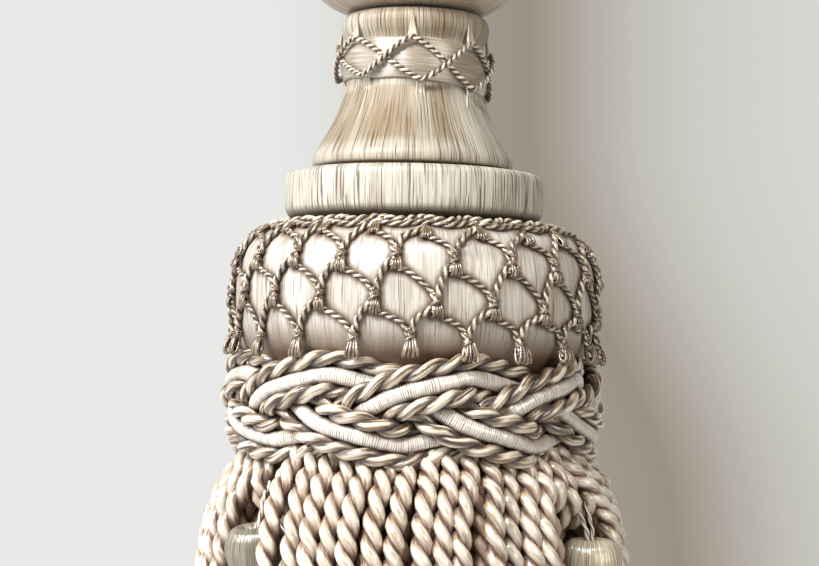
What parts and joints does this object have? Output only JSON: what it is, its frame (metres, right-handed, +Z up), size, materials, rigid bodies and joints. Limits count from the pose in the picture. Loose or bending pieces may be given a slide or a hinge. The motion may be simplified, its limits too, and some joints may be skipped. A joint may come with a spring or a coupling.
{
  "type": "curtain tieback tassel",
  "caption": "Hanging key tassel for a curtain tieback: silk-covered turned head, knotted net, plaited ruff and a skirt of twisted bullion cords with small drops.",
  "frame": {"origin": "middle of the top face of the cord collar, where the tieback rope enters and holds the tassel up", "axes": "+Z up along the tassel's axis, -Y towards the front, +X to the front's right"},
  "size_m": [0.086, 0.0876, 0.2255],
  "materials": {
    "tan_silk": "wound silk floss, shaded beige",
    "silk_floss": "cream silk floss laid vertically, satin",
    "satin_thread": "ivory satin threads wound round, glossy",
    "net_cord": "bronze two-ply cord, semi-matt",
    "rope_silk": "twisted silk rope, satin",
    "gimp_silk": "silk-wrapped gimp, satin",
    "bullion_silk": "twisted bullion cord, soft satin"
  },
  "bodies": {
    "root": {"cord_collar": "tan_silk", "top_bun": "tan_silk", "neck_mould": "silk_floss", "waist_band": "satin_thread", "waist_lattice": "net_cord", "disc_mould": "silk_floss", "drum_mould": "silk_floss", "net": "net_cord", "plait_rope_upper": "rope_silk", "plait_gimp": "gimp_silk", "plait_rope_lower": "rope_silk", "bullion_skirt": "bullion_silk", "drop_mould_1": "silk_floss", "drop_mould_2": "silk_floss", "drop_mould_3": "silk_floss", "drop_thread_1": "rope_silk", "drop_thread_2": "rope_silk", "drop_thread_3": "rope_silk", "drop_tuft_1": "bullion_silk", "drop_tuft_2": "bullion_silk", "drop_tuft_3": "bullion_silk"}
  },
  "joints": []
}
